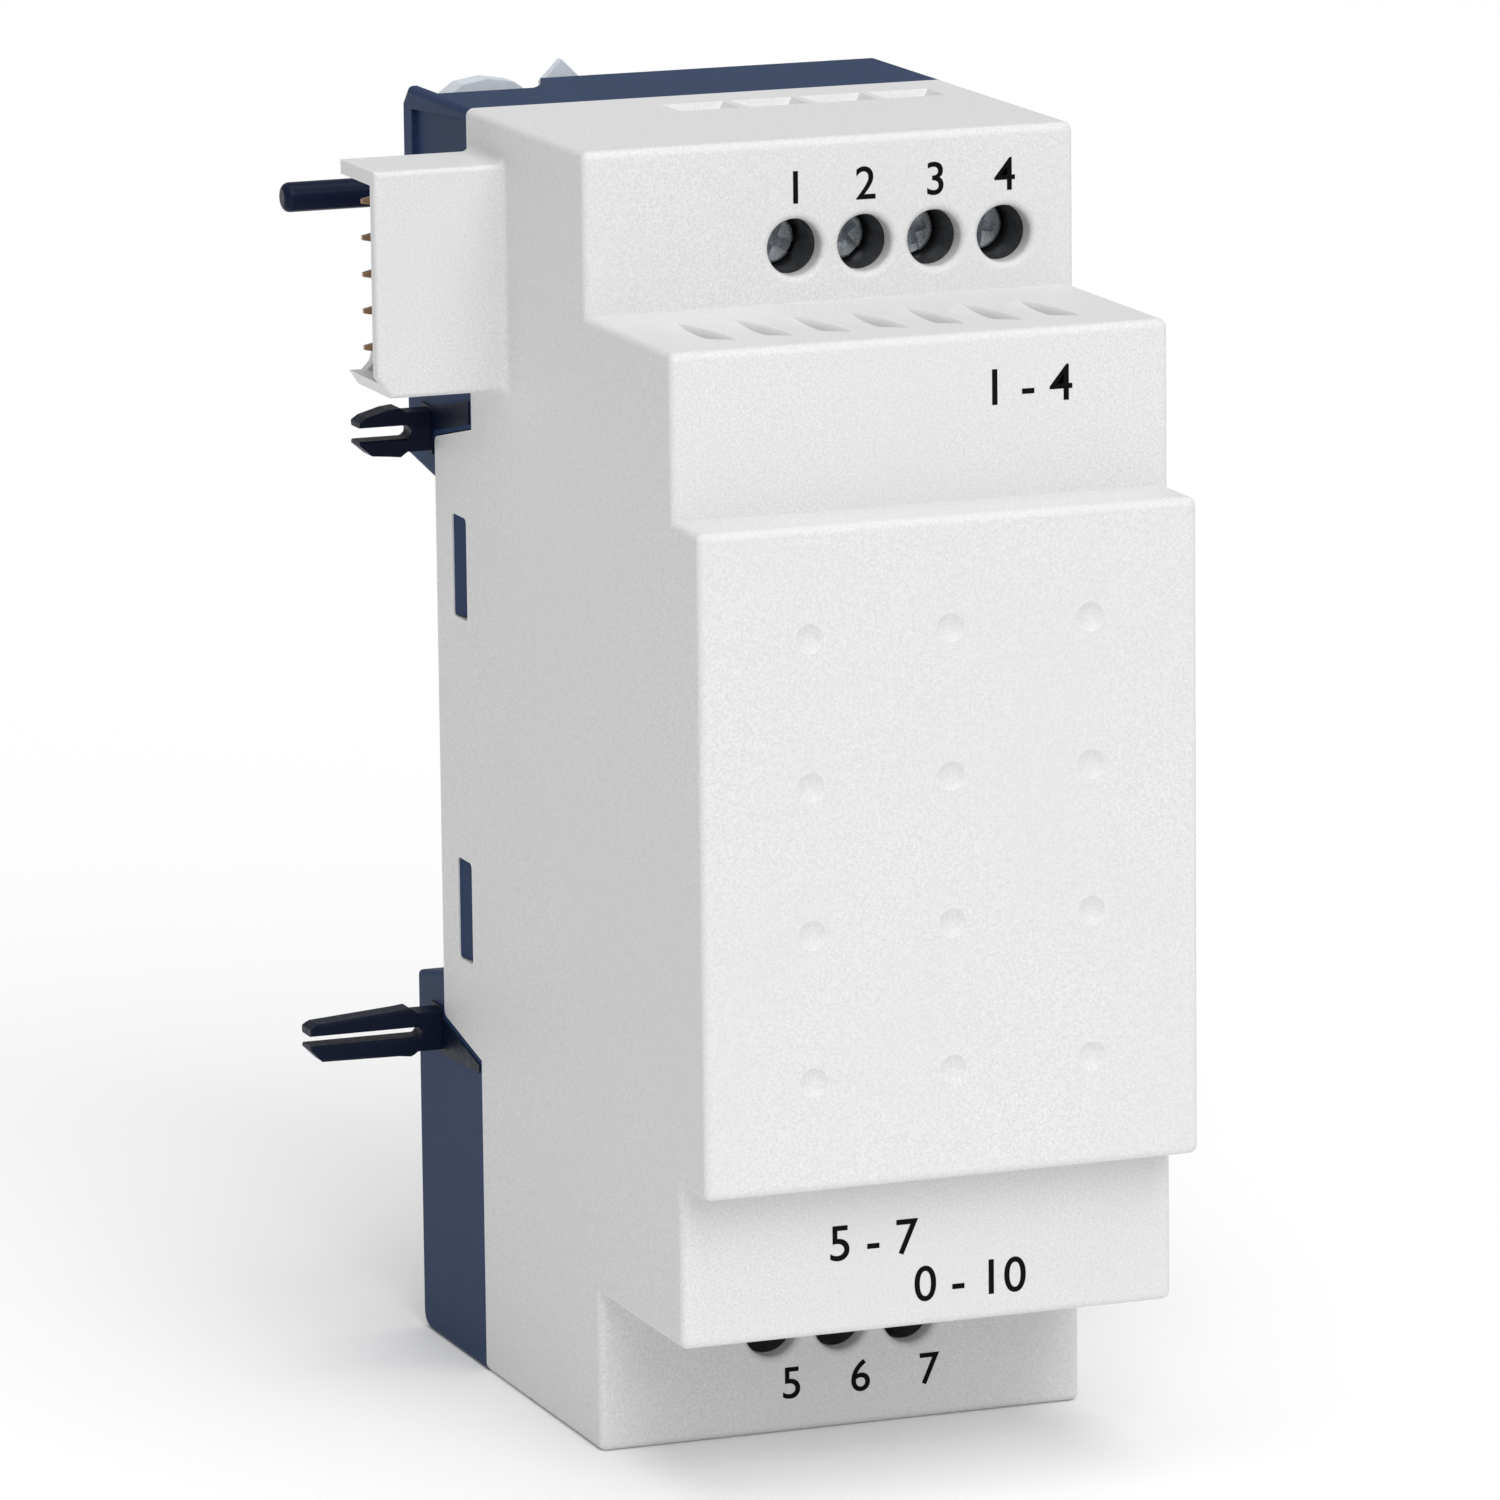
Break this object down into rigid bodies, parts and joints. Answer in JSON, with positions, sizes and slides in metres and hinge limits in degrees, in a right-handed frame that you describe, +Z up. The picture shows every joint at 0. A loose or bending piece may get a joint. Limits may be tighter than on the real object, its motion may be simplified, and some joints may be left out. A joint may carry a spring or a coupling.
{
  "type": "analogue extension module",
  "caption": "Stepped casing module for a mounting rail, with screw terminals above and below, a side bus connector and fixing lugs.",
  "frame": {"origin": "centre of the rail seat, the pad in the back that rests on the mounting rail", "axes": "+Z up along the module's height, +Y towards the rail and the panel, -Y the front, -X the bus connector's side"},
  "size_m": [0.0471, 0.0595, 0.0912],
  "materials": {
    "housing_plastic": "fine matt grain",
    "base_plastic": "fine matt grain",
    "clip_plastic": "satin",
    "lug_plastic": "satin",
    "spring_steel": "drawn wire",
    "terminal_plastic": "satin",
    "contact_brass": "tinned",
    "contact_bronze": "plated",
    "connector_plastic": "satin",
    "board_laminate": "solder mask",
    "header_plastic": "satin",
    "chip_resin": "moulded",
    "resistor_ceramic": "glazed",
    "capacitor_ceramic": "sintered",
    "capacitor_can": "drawn can",
    "ferrite": "sintered",
    "crystal_can": "drawn can",
    "screw_steel": "zinc plated",
    "cage_steel": "zinc plated"
  },
  "bodies": {
    "casing": {"front_housing": "housing_plastic", "rear_base": "base_plastic", "upper_link_clip": "clip_plastic", "lower_link_clip": "clip_plastic", "rail_clip_spring": "spring_steel", "input_terminal_block": "terminal_plastic", "output_terminal_block": "terminal_plastic", "input_contact_bars": "contact_brass", "output_contact_bars": "contact_brass", "bus_contacts": "contact_bronze", "bus_connector_body": "connector_plastic", "main_board": "board_laminate", "signal_board": "board_laminate", "board_header_bodies": "header_plastic", "board_header_pins": "contact_brass", "microcontroller": "chip_resin", "converter_chips": "chip_resin", "optocouplers": "chip_resin", "smd_resistors": "resistor_ceramic", "smd_capacitors": "capacitor_ceramic", "electrolytic_capacitors": "capacitor_can", "isolation_transformer": "ferrite", "filter_choke": "ferrite", "quartz_crystal": "crystal_can"},
    "upper_lug": {"upper_fixing_lug": "lug_plastic"},
    "lower_lug": {"lower_fixing_lug": "lug_plastic"},
    "rail_clip": {"rail_clip": "lug_plastic"},
    "screw_1": {"terminal_screw_1": "screw_steel"},
    "cage_1": {"terminal_cage_1": "cage_steel"},
    "screw_2": {"terminal_screw_2": "screw_steel"},
    "cage_2": {"terminal_cage_2": "cage_steel"},
    "screw_3": {"terminal_screw_3": "screw_steel"},
    "cage_3": {"terminal_cage_3": "cage_steel"},
    "screw_4": {"terminal_screw_4": "screw_steel"},
    "cage_4": {"terminal_cage_4": "cage_steel"},
    "screw_5": {"terminal_screw_5": "screw_steel"},
    "cage_5": {"terminal_cage_5": "cage_steel"},
    "screw_6": {"terminal_screw_6": "screw_steel"},
    "cage_6": {"terminal_cage_6": "cage_steel"},
    "screw_7": {"terminal_screw_7": "screw_steel"},
    "cage_7": {"terminal_cage_7": "cage_steel"}
  },
  "joints": [
    {"name": "upper_lug_slide", "type": "slide", "parent": "casing", "child": "upper_lug", "axis": [0, 0, 1], "range_m": [-0.0013, 0.0085]},
    {"name": "lower_lug_slide", "type": "slide", "parent": "casing", "child": "lower_lug", "axis": [0, 0, -1], "range_m": [0, 0.0098]},
    {"name": "rail_clip_slide", "type": "slide", "parent": "casing", "child": "rail_clip", "axis": [0, 0, -1], "range_m": [0, 0.003], "stiffness_N_per_m": 1500, "springref_m": -0.002, "deforming": ["rail_clip_spring"]},
    {"name": "screw_1_turn", "type": "hinge", "parent": "casing", "child": "screw_1", "pos_m": [-0.00254, -0.0262, 0.0376], "axis": [0, 1, 0], "range_deg": [0, 1800]},
    {"name": "cage_1_slide", "type": "slide", "parent": "casing", "child": "cage_1", "axis": [0, -1, 0], "range_m": [0, 0.00225]},
    {"name": "screw_2_turn", "type": "hinge", "parent": "casing", "child": "screw_2", "pos_m": [0.00254, -0.0262, 0.0376], "axis": [0, 1, 0], "range_deg": [0, 1800]},
    {"name": "cage_2_slide", "type": "slide", "parent": "casing", "child": "cage_2", "axis": [0, -1, 0], "range_m": [0, 0.00225]},
    {"name": "screw_3_turn", "type": "hinge", "parent": "casing", "child": "screw_3", "pos_m": [0.00762, -0.0262, 0.0376], "axis": [0, 1, 0], "range_deg": [0, 1800]},
    {"name": "cage_3_slide", "type": "slide", "parent": "casing", "child": "cage_3", "axis": [0, -1, 0], "range_m": [0, 0.00225]},
    {"name": "screw_4_turn", "type": "hinge", "parent": "casing", "child": "screw_4", "pos_m": [0.0127, -0.0262, 0.0376], "axis": [0, 1, 0], "range_deg": [0, 1800]},
    {"name": "cage_4_slide", "type": "slide", "parent": "casing", "child": "cage_4", "axis": [0, -1, 0], "range_m": [0, 0.00225]},
    {"name": "screw_5_turn", "type": "hinge", "parent": "casing", "child": "screw_5", "pos_m": [-0.00508, -0.0262, -0.0376], "axis": [0, 1, 0], "range_deg": [0, 1800]},
    {"name": "cage_5_slide", "type": "slide", "parent": "casing", "child": "cage_5", "axis": [0, -1, 0], "range_m": [0, 0.00225]},
    {"name": "screw_6_turn", "type": "hinge", "parent": "casing", "child": "screw_6", "pos_m": [0, -0.0262, -0.0376], "axis": [0, 1, 0], "range_deg": [0, 1800]},
    {"name": "cage_6_slide", "type": "slide", "parent": "casing", "child": "cage_6", "axis": [0, -1, 0], "range_m": [0, 0.00225]},
    {"name": "screw_7_turn", "type": "hinge", "parent": "casing", "child": "screw_7", "pos_m": [0.00508, -0.0262, -0.0376], "axis": [0, 1, 0], "range_deg": [0, 1800]},
    {"name": "cage_7_slide", "type": "slide", "parent": "casing", "child": "cage_7", "axis": [0, -1, 0], "range_m": [0, 0.00225]}
  ],
  "couplings": [
    {"joint": "screw_1_turn", "follows": "cage_1_slide", "rad_per_m": 13963},
    {"joint": "screw_2_turn", "follows": "cage_2_slide", "rad_per_m": 13963},
    {"joint": "screw_3_turn", "follows": "cage_3_slide", "rad_per_m": 13963},
    {"joint": "screw_4_turn", "follows": "cage_4_slide", "rad_per_m": 13963},
    {"joint": "screw_5_turn", "follows": "cage_5_slide", "rad_per_m": 13963},
    {"joint": "screw_6_turn", "follows": "cage_6_slide", "rad_per_m": 13963},
    {"joint": "screw_7_turn", "follows": "cage_7_slide", "rad_per_m": 13963}
  ]
}
